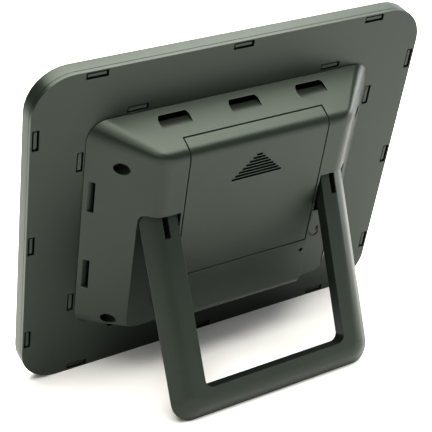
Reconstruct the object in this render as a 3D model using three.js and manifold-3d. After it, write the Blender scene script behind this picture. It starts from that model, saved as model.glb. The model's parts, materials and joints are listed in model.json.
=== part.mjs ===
// Digital photo frame, millimetres, +Z up. It stands on the bottom edge of its plate and on the crossbar
// of a fold-out stand, with its screen towards -Y. The origin is the bottom centre of its bounding box.
//
// Everything is drawn in the plate's own axes: X along the plate, Y out of its back, Z up along it, from
// the centre of the plate's back face. The finished assembly is then leaned back as it stands in use.

import * as THREE from 'three';
import { mergeVertices } from 'three/addons/utils/BufferGeometryUtils.js';
import Module from 'manifold-3d';

const wasm = await Module();
wasm.setup();

// ---------------------------------------------------------------- driving dimensions

const GAP = 0.3;                       // between pieces that touch
const UP = Math.PI / 2;
const FAR = 100;                       // further than any piece reaches, for cuts that run right out
const WIDE = [-FAR, FAR];

const PLATE = { width: 204.8, height: 176.6, corner: 20, thick: 2 };
const CASE_DEPTH = 9.5;                // front of the bezel to the back of the plate
const BEZEL_WALL = 2;
const BEZEL_FACE = 1.6;
const FRONT_ROUND = 1.2;
const SCREEN = { width: 166, height: 125, corner: 1 };

const WINDOW = { long: 10.4, short: 3.1, tabLong: 9, tabShort: 1.7, sunk: 0.5, rooted: 0.2 };
const OUTER_COLUMN = 99.85;            // centre line of the windows along the left and right edges
const OUTER_ROW = 86;                  // and along the top and bottom edges
const OUTER_COLUMN_HEIGHTS = [-58.5, 0, 58.5];
const OUTER_ROW_PLACES = [-72.5, 0, 72.5];
const INNER_ROW = { x: 51.4, z: 64.2 };
const INNER_COLUMN = { x: 78.2, z: 41.8 };
const SERVICE_OPENING = { halfX: 55, low: -50, high: 55, corner: 4 };  // in the plate, for the wiring

// Layers behind the bezel's face, front to back: half sizes along X and Z, corner and depths from the plate.
const GASKET = { halfX: 90, halfZ: 69, corner: 2, thick: 0.7, margin: 0.5 };
const PANEL = { halfX: 91, halfZ: 70, corner: 1, depth: [-6.6, -5.5] };
const BACKLIGHT = { halfX: 91.5, halfZ: 70.5, corner: 1, depth: [-5.2, -3.4] };
const RETAINER = { halfX: 95, halfZ: 74, innerX: 74, innerZ: 53, corner: 4, depth: [-3.1, -2.3] };

const HOUSING = { halfWidth: 76.2, top: 62.2, bottom: -58.2, depth: 25, wall: 2.1 };
const SIDE = { run: 26.2, fillet: 10 };  // how far a side leans in over the depth, and its rear edge
const END = { run: 9.33, fillet: 6 };  // the same for the top and the bottom
const CORNER = { base: 10, rear: 4 };  // radius of the upright corners, at the plate and at the rear

const CHANNEL = { inner: 38.5, outer: 57, floor: 18, top: 20, corner: 3.4 };
const POCKET = { outer: 50, bottom: -8.5, top: 17.6, floor: 10.5 };
const DOOR = { halfWidth: 36.8, bottom: -19, lipDepth: 16.9, thick: 1.5, seam: 0.35, rest: 0.3 };
const TRAY = { halfWidth: 31, bottom: -18.6, top: 46, floor: 10.4, wall: 2, base: 1.4 };
const TONGUE = { x: 20, halfWidth: 6, reach: 2.4, low: 23.5, high: 24.1, side: 0.5, tip: 0.6 };

const HINGE = {
  depth: 21.3, height: 14.15, pin: 1.2, bore: 1.5, boss: 3.2, washer: 2.6,
  seat: 2.4, play: 0.4, tip: 0.6,      // bore past the tray's wall, pin's end play there and in the arm
};
const STAND = {
  open: THREE.MathUtils.degToRad(31.5),
  front: -2.8, back: 4.2,              // its two faces, from the hinge axis
  inner: 39.5, outer: 56,
  barrel: 5.2, windowFoot: -81.2, foot: -95.7,
  land: 0.8,                           // straight outer edge before the bevel
  bevelFillet: 10, topCorner: 2.6, footCorner: 10, faceCorner: 4, windowCorner: 4,
  slotNear: 44.5, slotFar: 47.2, slotFoot: -7.2,
};

const VENT = { pitch: 36.4, halfLong: 7.8, low: 58.2, high: 60.7, lowCorner: 0.3, corner: 1.3 };
const LATCH_SLOT = { near: 66, far: 78, front: 1.8, back: 4, height: 22.8, halfLong: 8.4 };
const CASE_SCREW = {
  x: 63.7, high: 42.4, low: -47.6,
  head: 2.4, headHeight: 2, shank: 1.3, tip: -1.7,
  well: 2.9, seat: 4.2, clearance: 1.7,
  boss: 4.8, foot: 2.5,                // the housing's tube, down to its foot
  post: 3, pilot: 1.6,                 // the plate's post and its hole
};
const BOARD = { halfWidth: 52, bottom: -51.5, top: 42, front: 4.5, back: 6.1, corner: 2 };
const BOARD_SCREW = {
  x: 47, high: 37, low: -40, head: 2.4, headHeight: 1.6, shank: 1, tip: 12.5,
  hole: 1.4, post: 3, pilot: 1.3, pilotEnd: 14.5,
};
const RESET = {
  x: -35.6, z: -25.5, hole: 1.1, tube: 2.3, tubeFoot: 14,
  switchHalf: 3, switchBack: 9.4,
  pin: 0.8, pinEnds: [10.2, 23.4], collar: 2, collarBack: 11.4,
};
const ON_BOARD = BOARD.back + GAP;     // underside of what is mounted on the board

// Parts soldered to the board: where they lie, and how far back they stand.
const CHIPS = {
  processor: { x: [8, 28], z: [2, 22], back: 8 },
  memory_chip: { x: [-20, -2], z: [8, 18], back: 7.6 },
  flash_chip: { x: [-24, -12], z: [-14, 4], back: 7.6 },
};
const CHOKE = { x: -44, z: -22, radius: 3.4, back: 8.6 };
const BATTERY = { halfX: 28, low: -15, high: 43, corner: 2, back: 20.4 };
const CONTACTS = { x: [6, 20], z: [-18.2, -15.4], back: 15 };
const RIBBON = { halfWidth: 15, half: 0.15, front: -2.9, back: 3.4, high: -4, low: -38.4, bends: [-26, -16] };
const RIBBON_CONNECTOR = { halfWidth: 17, front: 2.4, z: [-44, -38.7] };

// ---------------------------------------------------------------- solids

function solid(geometry) {
  const bare = geometry.clone();
  bare.deleteAttribute('normal');
  bare.deleteAttribute('uv');
  const merged = mergeVertices(bare, 1e-5);
  return new wasm.Manifold(new wasm.Mesh({
    numProp: 3,
    vertProperties: Float32Array.from(merged.attributes.position.array),
    triVerts: Uint32Array.from(merged.index.array),
  }));
}

function join(solids) {
  return solids.reduce((all, next) => all.add(next));
}

function cut(body, tools) {
  return tools.reduce((left, tool) => left.subtract(tool), body);
}

function geometryOf(body) {
  const mesh = body.getMesh();
  const geometry = new THREE.BufferGeometry();
  geometry.setAttribute('position', new THREE.BufferAttribute(Float32Array.from(mesh.vertProperties), 3));
  geometry.setIndex(new THREE.BufferAttribute(Uint32Array.from(mesh.triVerts), 1));
  geometry.computeVertexNormals();
  return geometry;
}

// A box between two values along each axis.
function block([x0, x1], [y0, y1], [z0, z1]) {
  const box = new THREE.BoxGeometry(x1 - x0, y1 - y0, z1 - z0);
  return solid(box.translate((x0 + x1) / 2, (y0 + y1) / 2, (z0 + z1) / 2));
}

// A shape drawn in X and Z, extruded in Y from one depth to the other.
function slab(shape, [y0, y1], curveSegments = 6) {
  const slice = new THREE.ExtrudeGeometry(shape, { depth: y1 - y0, bevelEnabled: false, curveSegments });
  return solid(slice.rotateX(UP).translate(0, y1, 0));
}

// A shape drawn in Y and Z, extruded in X.
function bar(shape, [x0, x1], curveSegments = 6) {
  const length = new THREE.ExtrudeGeometry(shape, { depth: x1 - x0, bevelEnabled: false, curveSegments });
  const alongX = new THREE.Matrix4().makeBasis(
    new THREE.Vector3(0, 1, 0), new THREE.Vector3(0, 0, 1), new THREE.Vector3(1, 0, 0));
  return solid(length.applyMatrix4(alongX).translate(x0, 0, 0));
}

// A round rod along Y, X or Z.
function rodY(radius, [y0, y1], x, z, sides = 20) {
  return solid(new THREE.CylinderGeometry(radius, radius, y1 - y0, sides).translate(x, (y0 + y1) / 2, z));
}

function rodX(radius, [x0, x1], y, z, sides = 20) {
  const rod = new THREE.CylinderGeometry(radius, radius, x1 - x0, sides);
  return solid(rod.rotateZ(UP).translate((x0 + x1) / 2, y, z));
}

function rodZ(radius, [z0, z1], x, y, sides = 20) {
  return solid(new THREE.CylinderGeometry(radius, radius, z1 - z0, sides).rotateX(UP)
    .translate(x, y, (z0 + z1) / 2));
}

// A rectangle from -halfX to halfX and low to high, with its own radii at the bottom and the top.
function rounded(halfX, low, high, lowRadius, highRadius = lowRadius, centre = 0) {
  const [left, right] = [centre - halfX, centre + halfX];
  const shape = new THREE.Shape();
  shape.absarc(right - lowRadius, low + lowRadius, lowRadius, -UP, 0);
  shape.absarc(right - highRadius, high - highRadius, highRadius, 0, UP);
  shape.absarc(left + highRadius, high - highRadius, highRadius, UP, 2 * UP);
  shape.absarc(left + lowRadius, low + lowRadius, lowRadius, 2 * UP, 3 * UP);
  shape.closePath();
  return shape;
}

// A solid skinned through outlines of the same make, each at its own depth in Y, shallowest first.
function loft(rings, curveSegments = 3) {
  const outlines = rings.map((ring) => ring.shape.extractPoints(curveSegments).shape);
  const count = outlines[0].length;
  const position = outlines.flatMap((points, k) => points.flatMap((p) => [p.x, rings[k].y, p.y]));
  const index = [];
  for (let k = 0; k + 1 < rings.length; k += 1) {
    for (let i = 0; i < count; i += 1) {
      const next = (i + 1) % count;
      const [a, b] = [k * count + i, k * count + next];
      index.push(a, b + count, a + count, a, b, b + count);
    }
  }
  const last = (rings.length - 1) * count;
  for (let i = 1; i + 1 < count; i += 1) index.push(0, i + 1, i, last, last + i, last + i + 1);
  const geometry = new THREE.BufferGeometry();
  geometry.setAttribute('position', new THREE.Float32BufferAttribute(position, 3));
  geometry.setIndex(index.reverse());
  return solid(geometry);
}

// How far a leaning wall has come in at a given depth, with a fillet where it meets the rear face.
function leanIn(y, depth, { run, fillet }) {
  const slope = Math.atan2(depth, run);
  const filletStart = depth - fillet + fillet * Math.cos(slope);
  if (y <= filletStart) return run * y / depth;
  const turn = Math.acos(Math.min(1, (y - depth + fillet) / fillet));
  return run + fillet * Math.tan(slope / 2) - fillet * Math.sin(turn);
}

// ---------------------------------------------------------------- the rear housing's outer form

// The housing's outer form moved inwards all round by an offset.
function housingForm(offset, from) {
  const depth = HOUSING.depth - offset;
  const keep = depth / HOUSING.depth;
  const side = { run: SIDE.run * keep, fillet: SIDE.fillet - offset };
  const end = { run: END.run * keep, fillet: END.fillet - offset };
  const sideInset = offset * Math.hypot(SIDE.run, HOUSING.depth) / HOUSING.depth;
  const endInset = offset * Math.hypot(END.run, HOUSING.depth) / HOUSING.depth;
  const slope = Math.atan2(depth, end.run);
  const filletSteps = 5;
  const depths = [from];
  for (let i = 0; i <= filletSteps; i += 1) {
    depths.push(depth - end.fillet + end.fillet * Math.cos(slope * (1 - i / filletSteps)));
  }
  return loft(depths.map((y) => {
    const low = HOUSING.bottom + endInset + leanIn(y, depth, end);
    const high = HOUSING.top - endInset - leanIn(y, depth, end);
    const halfX = HOUSING.halfWidth - sideInset - leanIn(y, depth, side);
    const soften = Math.max(0.5, 1 - offset / CORNER.base);
    const corner = CORNER.base + (CORNER.rear - CORNER.base) * y / depth;
    return { y, shape: rounded(halfX, low, high, corner * soften) };
  }), 4);
}

const outerForm = housingForm(0, GAP);
const pinEnd = TRAY.halfWidth + HINGE.seat + HINGE.play;

// ---------------------------------------------------------------- the flat case

function plateOutline(inset = 0) {
  const [halfX, halfZ] = [PLATE.width / 2 - inset, PLATE.height / 2 - inset];
  return rounded(halfX, -halfZ, halfZ, PLATE.corner - inset);
}

// Centre and direction of each window that a tab snaps into.
function outerWindows() {
  const places = [];
  for (const side of [-1, 1]) {
    for (const z of OUTER_COLUMN_HEIGHTS) places.push({ x: side * OUTER_COLUMN, z, upright: true });
    for (const x of OUTER_ROW_PLACES) places.push({ x, z: side * OUTER_ROW, upright: false });
  }
  return places;
}

function innerWindows() {
  const places = [];
  for (const x of [-1, 1]) {
    for (const z of [-1, 1]) {
      places.push({ x: x * INNER_ROW.x, z: z * INNER_ROW.z, upright: false });
      places.push({ x: x * INNER_COLUMN.x, z: z * INNER_COLUMN.z, upright: true });
    }
  }
  return places;
}

function windowBlock({ x, z, upright }, long, short, depth) {
  const [halfX, halfZ] = upright ? [short / 2, long / 2] : [long / 2, short / 2];
  return block([x - halfX, x + halfX], depth, [z - halfZ, z + halfZ]);
}

function tab(place, foot) {
  return windowBlock(place, WINDOW.tabLong, WINDOW.tabShort, [foot, -WINDOW.sunk]);
}

const bezelBack = -PLATE.thick - GAP;
const faceBack = -CASE_DEPTH + BEZEL_FACE;

function frontBezel() {
  const rings = [];
  const roundSteps = 3;
  for (let i = 0; i <= roundSteps; i += 1) {
    const turn = UP * i / roundSteps;
    rings.push({
      y: -CASE_DEPTH + FRONT_ROUND * (1 - Math.cos(turn)),
      shape: plateOutline(FRONT_ROUND * (1 - Math.sin(turn))),
    });
  }
  rings.push({ y: bezelBack, shape: plateOutline() });
  const opening = rounded(SCREEN.width / 2, -SCREEN.height / 2, SCREEN.height / 2, SCREEN.corner);
  const shell = cut(loft(rings, 4), [
    slab(plateOutline(BEZEL_WALL), [faceBack, 0], 8),
    slab(opening, [-FAR, 0], 2),
  ]);
  return join([shell, ...outerWindows().map((place) => tab(place, faceBack - WINDOW.rooted))]);
}

function layer({ halfX, halfZ, corner }, depth) {
  return slab(rounded(halfX, -halfZ, halfZ, corner), depth, 3);
}

function ring(outer, innerX, innerZ, depth) {
  const opening = rounded(innerX, -innerZ, innerZ, outer.corner);
  return layer(outer, depth).subtract(slab(opening, [depth[0] - 1, depth[1] + 1], 3));
}

function lcdGasket() {
  const front = faceBack + GAP;
  const [innerX, innerZ] = [SCREEN.width / 2 + GASKET.margin, SCREEN.height / 2 + GASKET.margin];
  return ring(GASKET, innerX, innerZ, [front, front + GASKET.thick]);
}

function lcdRetainer() {
  const tabFoot = RETAINER.depth[0] + WINDOW.rooted;
  const frame = ring(RETAINER, RETAINER.innerX, RETAINER.innerZ, RETAINER.depth);
  return join([frame, ...innerWindows().map((place) => tab(place, tabFoot))]);
}

// Two screws on each side, the upper one first.
function screwPlaces({ x, high, low }) {
  return [-1, 1].flatMap((side) => [high, low].map((z) => [side * x, z]));
}

function backPlate() {
  const plate = slab(plateOutline(), [-PLATE.thick, 0], 8);
  const windows = [...outerWindows(), ...innerWindows()];
  const { halfX, low, high, corner } = SERVICE_OPENING;
  const service = slab(rounded(halfX, low, high, corner), WIDE, 3);
  const openings = windows.map((place) => windowBlock(place, WINDOW.long, WINDOW.short, WIDE));
  const posts = screwPlaces(CASE_SCREW).map(
    ([x, z]) => rodY(CASE_SCREW.post, [-PLATE.thick / 2, CASE_SCREW.foot - GAP], x, z, 16));
  const holes = screwPlaces(CASE_SCREW).map(([x, z]) => rodY(CASE_SCREW.pilot, WIDE, x, z, 12));
  return cut(join([plate, ...posts]), [service, ...openings, ...holes]);
}

// ---------------------------------------------------------------- the rear housing

function mirrored(make) {
  return [make(1), make(-1)];
}

function channelShape(side, grow = 0) {
  const [near, far] = [CHANNEL.inner - grow, CHANNEL.outer + grow];
  const high = CHANNEL.top + grow;
  const corner = CHANNEL.corner + grow;
  const shape = new THREE.Shape();
  shape.moveTo(near, -FAR);
  shape.lineTo(far, -FAR);
  shape.absarc(far - corner, high - corner, corner, 0, UP);
  shape.lineTo(near, high);
  shape.closePath();
  if (side > 0) return shape;
  const flipped = shape.extractPoints(4).shape.map((p) => new THREE.Vector2(-p.x, p.y)).reverse();
  return new THREE.Shape(flipped);
}

function sideSpan(side, near, far) {
  return side > 0 ? [near, far] : [-far, -near];
}

// Where the door lies, sunk into the rear face and over the rear edge of the top.
function doorBed(grow, offset, low) {
  const halfX = DOOR.halfWidth + grow;
  const region = block([-halfX, halfX], [DOOR.lipDepth - grow, FAR], [low, FAR]);
  return region.subtract(housingForm(offset, -1));
}

const DOOR_BED_DEPTH = DOOR.thick + DOOR.rest;
const LEDGE = { wall: 1.8, side: 2, foot: 5 };  // wall left under the door's bed, and round it

function housingCavity() {
  return cut(housingForm(HOUSING.wall, -1), [
    doorBed(LEDGE.side, DOOR_BED_DEPTH + LEDGE.wall, DOOR.bottom - LEDGE.foot),
    ...mirrored((side) => slab(channelShape(side, HOUSING.wall), [CHANNEL.floor - HOUSING.wall, FAR])),
    ...mirrored((side) => block(
      sideSpan(side, CHANNEL.inner - HOUSING.wall, POCKET.outer + HOUSING.wall),
      [POCKET.floor - HOUSING.wall, FAR],
      [POCKET.bottom - HOUSING.wall, POCKET.top + HOUSING.wall],
    )),
  ]);
}

function housingBosses() {
  const rooted = HOUSING.depth - HOUSING.wall / 2;
  const tray = block(
    [-TRAY.halfWidth - TRAY.wall, TRAY.halfWidth + TRAY.wall],
    [TRAY.floor - TRAY.base, rooted],
    [TRAY.bottom - TRAY.wall, TRAY.top + TRAY.wall],
  );
  const screwTubes = screwPlaces(CASE_SCREW).map(
    ([x, z]) => rodY(CASE_SCREW.boss, [CASE_SCREW.foot, rooted], x, z));
  const boardPosts = screwPlaces(BOARD_SCREW).map(
    ([x, z]) => rodY(BOARD_SCREW.post, [ON_BOARD, rooted], x, z, 16));
  const hingeBosses = mirrored((side) => rodX(
    HINGE.boss, sideSpan(side, TRAY.halfWidth + 1, CHANNEL.inner - 0.5), HINGE.depth, HINGE.height));
  const resetGuide = rodY(RESET.tube, [RESET.tubeFoot, rooted], RESET.x, RESET.z, 16);
  return join([tray, ...screwTubes, ...boardPosts, ...hingeBosses, resetGuide]).intersect(outerForm);
}

function ventCutters() {
  return [-1, 0, 1].map((i) => slab(
    rounded(VENT.halfLong, VENT.low, VENT.high, VENT.lowCorner, VENT.corner, i * VENT.pitch), [-1, FAR], 2));
}

function latchSlotCutters() {
  return mirrored((side) => mirrored((end) => block(
    sideSpan(side, LATCH_SLOT.near, LATCH_SLOT.far), [LATCH_SLOT.front, LATCH_SLOT.back],
    [end * LATCH_SLOT.height - LATCH_SLOT.halfLong, end * LATCH_SLOT.height + LATCH_SLOT.halfLong],
  ))).flat();
}

// Sockets along the bottom wall: the body of each, and the sizes inside it.
const SOCKETS = {
  card: { x: [7, 35], y: [ON_BOARD, 9.6], z: [-52.3, -24], mouth: 1.2, side: 1.6, skin: 0.5, end: 3 },
  usb: { x: [-14.2, 0.2], y: [ON_BOARD, 13.4], z: [-50.5, -37], skin: 0.8, blade: [3.6, 5.4], room: 0.1 },
  power: {
    x: [-30.5, -21.5], y: [ON_BOARD, 16.4], z: [-49.3, -36],
    depth: 11.6, barrel: 3.9, reach: 3.4, bore: 2.8, pin: 0.9, room: 0.5,
  },
  toggle: { x: [-48.4, -39.8], y: [ON_BOARD, 10.2], z: [-51.5, -46.9] },
};
const powerCentre = (SOCKETS.power.x[0] + SOCKETS.power.x[1]) / 2;
const KNOB = { width: 2.4, travel: 2.4, low: 7.6, high: 9, reach: -56.4, play: 0.6 };
const knobStart = (SOCKETS.toggle.x[0] + SOCKETS.toggle.x[1] - KNOB.width - KNOB.travel) / 2;

// A span along an axis, made wider at both ends by an amount, or narrower by a negative one.
function widen([low, high], amount) {
  return [low - amount, high + amount];
}

function socketCutters() {
  const { card, usb, power } = SOCKETS;
  const below = [-FAR, -47.5];         // through the bottom wall, and short of the board's middle
  return [
    block(widen(card.x, -card.mouth), widen(card.y, -card.skin), below),
    block(widen(usb.x, usb.room), usb.y, below),
    rodZ(power.barrel + power.room, below, powerCentre, power.depth),
    block(widen([knobStart, knobStart + KNOB.width + KNOB.travel], KNOB.play),
      widen([KNOB.low, KNOB.high], KNOB.play), below),
  ];
}

function rearHousing() {
  const shell = outerForm.subtract(housingCavity());
  const trayHollow = block([-TRAY.halfWidth, TRAY.halfWidth], [TRAY.floor, FAR], [TRAY.bottom, TRAY.top]);
  const tongueSlots = mirrored((side) => block(
    widen(tongueSpan(side), TONGUE.side),
    widen([TONGUE.low, TONGUE.high], GAP),
    [DOOR.bottom - TONGUE.reach - TONGUE.tip, DOOR.bottom + 1],
  ));
  const screwWells = screwPlaces(CASE_SCREW).flatMap(([x, z]) => [
    rodY(CASE_SCREW.well, [CASE_SCREW.seat, FAR], x, z),
    rodY(CASE_SCREW.clearance, [0, CASE_SCREW.seat + 1], x, z, 12),
  ]);
  const postHoles = screwPlaces(BOARD_SCREW).map(
    ([x, z]) => rodY(BOARD_SCREW.pilot, [0, BOARD_SCREW.pilotEnd], x, z, 12));
  return cut(shell.add(housingBosses()), [
    trayHollow,
    doorBed(DOOR.seam, DOOR_BED_DEPTH, DOOR.bottom - DOOR.seam),
    ...tongueSlots,
    ...mirrored((side) => slab(channelShape(side), [CHANNEL.floor, FAR], 4)),
    ...mirrored((side) => block(
      sideSpan(side, CHANNEL.inner, POCKET.outer), [POCKET.floor, FAR], [POCKET.bottom, POCKET.top])),
    ...mirrored((side) => rodX(
      HINGE.bore, sideSpan(side, pinEnd - HINGE.play, CHANNEL.inner + 1), HINGE.depth, HINGE.height, 16)),
    rodY(RESET.hole, [RESET.tubeFoot - 1, FAR], RESET.x, RESET.z, 16),
    ...ventCutters(),
    ...latchSlotCutters(),
    ...screwWells,
    ...postHoles,
    ...socketCutters(),
  ]);
}

// ---------------------------------------------------------------- the battery door

function tongueSpan(side) {
  return sideSpan(side, TONGUE.x - TONGUE.halfWidth, TONGUE.x + TONGUE.halfWidth);
}

const GRIP = { base: 31, top: 43.6, halfBase: 13.4, halfTop: 1.6, ribs: 8, groove: 1.1, depth: 0.9 };

function batteryDoor() {
  const region = block([-DOOR.halfWidth, DOOR.halfWidth], [DOOR.lipDepth, FAR], [DOOR.bottom, FAR]);
  const skin = outerForm.intersect(region).subtract(housingForm(DOOR.thick, -1));
  const tongues = mirrored((side) => block(
    tongueSpan(side), [TONGUE.low, TONGUE.high], [DOOR.bottom - TONGUE.reach, DOOR.bottom + 1]));
  const grooves = [];
  for (let i = 0; i < GRIP.ribs; i += 1) {
    const up = i / (GRIP.ribs - 1);
    const z = GRIP.base + (GRIP.top - GRIP.base - GRIP.groove) * up;
    const halfX = GRIP.halfBase + (GRIP.halfTop - GRIP.halfBase) * up;
    grooves.push(block([-halfX, halfX], [HOUSING.depth - GRIP.depth, FAR], [z, z + GRIP.groove]));
  }
  return cut(join([skin, ...tongues]), grooves);
}

// ---------------------------------------------------------------- the stand, from its hinge axis

function standSolid() {
  const bevel = UP / 2;
  const bevelFoot = STAND.front + STAND.land;
  const rings = [{ y: STAND.front, inset: 0 }, { y: bevelFoot, inset: 0 }];
  const steps = 4;
  for (let i = 0; i <= steps; i += 1) {
    const turn = bevel * (1 - i / steps);
    rings.push({
      y: STAND.back - STAND.bevelFillet * (1 - Math.cos(turn)),
      inset: STAND.back - bevelFoot + STAND.bevelFillet * (Math.tan(bevel / 2) - Math.sin(turn)),
    });
  }
  const deepest = rings[rings.length - 1].inset;
  const form = loft(rings.map(({ y, inset }) => {
    const corner = STAND.footCorner + (STAND.faceCorner - STAND.footCorner) * inset / deepest;
    return { y, shape: rounded(STAND.outer - inset, STAND.foot + inset, FAR, corner, 1) };
  }), 4);
  const below = STAND.foot - 1;        // outlines that trim only the arms' tops run past the foot
  const outline = rounded(STAND.outer + 1e-3, below, STAND.barrel, 1e-3, STAND.topCorner);
  // Each arm ends in a barrel about the hinge, with a flat that meets the channel's floor at full opening.
  const stop = HINGE.depth - CHANNEL.floor - GAP;
  const flatEnd = Math.PI - STAND.open - Math.acos(stop / STAND.barrel);
  const profile = new THREE.Shape();
  profile.moveTo(STAND.front, below);
  profile.lineTo(STAND.back, below);
  profile.absarc(0, 0, STAND.barrel, Math.acos(STAND.back / STAND.barrel), flatEnd);
  profile.lineTo(STAND.front, (stop + STAND.front * Math.cos(STAND.open)) / Math.sin(STAND.open));
  profile.closePath();
  const window = rounded(STAND.inner, STAND.windowFoot, FAR, STAND.windowCorner);
  return cut(form.intersect(slab(outline, WIDE, 4)).intersect(bar(profile, WIDE, 5)), [
    slab(window, WIDE, 4),
    ...mirrored((side) => block(sideSpan(side, STAND.slotNear, STAND.slotFar), WIDE, [STAND.slotFoot, FAR])),
    ...mirrored((side) => rodX(HINGE.bore, sideSpan(side, STAND.inner - 1, STAND.slotNear + 1), 0, 0, 16)),
  ]);
}

function hingePin(side) {
  return rodX(HINGE.pin, sideSpan(side, pinEnd, STAND.slotNear - HINGE.tip), 0, 0, 16);
}

function hingeWasher(side) {
  const span = sideSpan(side, CHANNEL.inner + GAP, STAND.inner - GAP);
  return rodX(HINGE.washer, span, 0, 0).subtract(rodX(HINGE.bore, widen(span, 1), 0, 0, 16));
}

// ---------------------------------------------------------------- electronics

function mainBoard() {
  const outline = rounded(BOARD.halfWidth, BOARD.bottom, BOARD.top, BOARD.corner);
  const holes = screwPlaces(BOARD_SCREW).map(([x, z]) => rodY(BOARD_SCREW.hole, WIDE, x, z, 12));
  return cut(slab(outline, [BOARD.front, BOARD.back], 2), holes);
}

function cardSocket() {
  const { x, y, z, side, skin, end } = SOCKETS.card;
  const slot = block(widen(x, -side), widen(y, -skin), [-FAR, z[1] - end]);
  return block(x, y, z).subtract(slot);
}

function usbSocket() {
  const { x, y, z, skin, blade } = SOCKETS.usb;
  const mouth = block(widen(x, -skin), widen(y, -skin), [-FAR, z[1] - 2]);
  const contactBlade = block(widen(x, -2 * skin), [y[0] + blade[0], y[0] + blade[1]], [z[0] + 1, z[1] - 1]);
  return block(x, y, z).subtract(mouth).add(contactBlade);
}

function powerJack() {
  const { x, y, z, depth, barrel, reach, bore, pin } = SOCKETS.power;
  const body = block(x, y, z).add(rodZ(barrel, [z[0] - reach, z[0] + 1], powerCentre, depth));
  const hollow = rodZ(bore, [z[0] - reach - 1, z[1] - 3], powerCentre, depth);
  return body.subtract(hollow).add(rodZ(pin, [z[0] - reach + 1, z[1] - 2], powerCentre, depth, 10));
}

function toggleBody() {
  const { x, y, z } = SOCKETS.toggle;
  return block(x, y, z);
}

function toggleKnob() {
  const reach = [KNOB.reach, SOCKETS.toggle.z[0] - GAP];
  return block([knobStart, knobStart + KNOB.width], [KNOB.low, KNOB.high], reach);
}

function resetSwitch() {
  const half = RESET.switchHalf;
  const depth = [ON_BOARD, RESET.switchBack];
  return block(widen([RESET.x, RESET.x], half), depth, widen([RESET.z, RESET.z], half));
}

function resetButton() {
  const pin = rodY(RESET.pin, RESET.pinEnds, RESET.x, RESET.z, 12);
  return pin.add(rodY(RESET.collar, [RESET.pinEnds[0], RESET.collarBack], RESET.x, RESET.z, 16));
}

// A thin strip that follows a curve drawn in Y and Z, extruded across X.
function ribbon() {
  const { front, back, high, low, bends, half, halfWidth } = RIBBON;
  const path = new THREE.CubicBezierCurve(
    new THREE.Vector2(front, high), new THREE.Vector2(front, bends[0]),
    new THREE.Vector2(back, bends[1]), new THREE.Vector2(back, low));
  const steps = 14;
  const edge = (side) => Array.from({ length: steps + 1 }, (_, i) => {
    const [at, along] = [path.getPoint(i / steps), path.getTangent(i / steps)];
    return new THREE.Vector2(at.x - side * half * along.y, at.y + side * half * along.x);
  });
  return bar(new THREE.Shape([...edge(-1), ...edge(1).reverse()]), [-halfWidth, halfWidth]);
}

function ribbonConnector() {
  const { halfWidth, front, z } = RIBBON_CONNECTOR;
  return block([-halfWidth, halfWidth], [front, BOARD.front - GAP], z);
}

function batteryPack() {
  const { halfX, low, high, corner, back } = BATTERY;
  return slab(rounded(halfX, low, high, corner), [TRAY.floor + GAP, back], 3);
}

function chip({ x, z, back }) {
  return block(x, [ON_BOARD, back], z);
}

// A cross-head screw along Y, from the underside of its head to its tip.
function screw({ head, headHeight, shank, tip }, from) {
  const away = Math.sign(from - tip);
  const span = (a, b) => [Math.min(a, b), Math.max(a, b)];
  const top = from + away * headHeight;
  const recess = span(from + away * headHeight / 2, top + away);
  const [long, wide] = [head * 0.62, 0.4];  // half sizes of each arm of the cross
  return rodY(head, span(from, top), 0, 0, 16)
    .add(rodY(shank, span(from + away * headHeight / 4, tip), 0, 0, 12))
    .subtract(block([-long, long], recess, [-wide, wide]))
    .subtract(block([-wide, wide], recess, [-long, long]));
}

// ---------------------------------------------------------------- finishes

const FINISH = {
  casing: { color: 0x48524a, roughness: 0.55, metalness: 0 },
  screen: { color: 0x0b0d10, roughness: 0.12, metalness: 0 },
  foam: { color: 0x1b1b1b, roughness: 0.95, metalness: 0 },
  backlight: { color: 0xb8bcbe, roughness: 0.35, metalness: 0.8 },
  board: { color: 0x1f5b35, roughness: 0.45, metalness: 0 },
  chip: { color: 0x17181a, roughness: 0.5, metalness: 0 },
  socket: { color: 0xb9bcc0, roughness: 0.3, metalness: 0.9 },
  moulded: { color: 0x101113, roughness: 0.5, metalness: 0 },
  ribbon: { color: 0xc77a2a, roughness: 0.4, metalness: 0 },
  battery: { color: 0x2c3f66, roughness: 0.4, metalness: 0 },
  steel: { color: 0x9a9c9e, roughness: 0.3, metalness: 1 },
};

const materials = Object.fromEntries(
  Object.entries(FINISH).map(([name, values]) => [name, new THREE.MeshStandardMaterial(values)]));

function piece(name, body, finish, place = [0, 0, 0]) {
  const mesh = new THREE.Mesh(geometryOf(body), materials[finish]);
  mesh.name = name;
  mesh.position.set(...place);
  return mesh;
}

// ---------------------------------------------------------------- assembly

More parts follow.
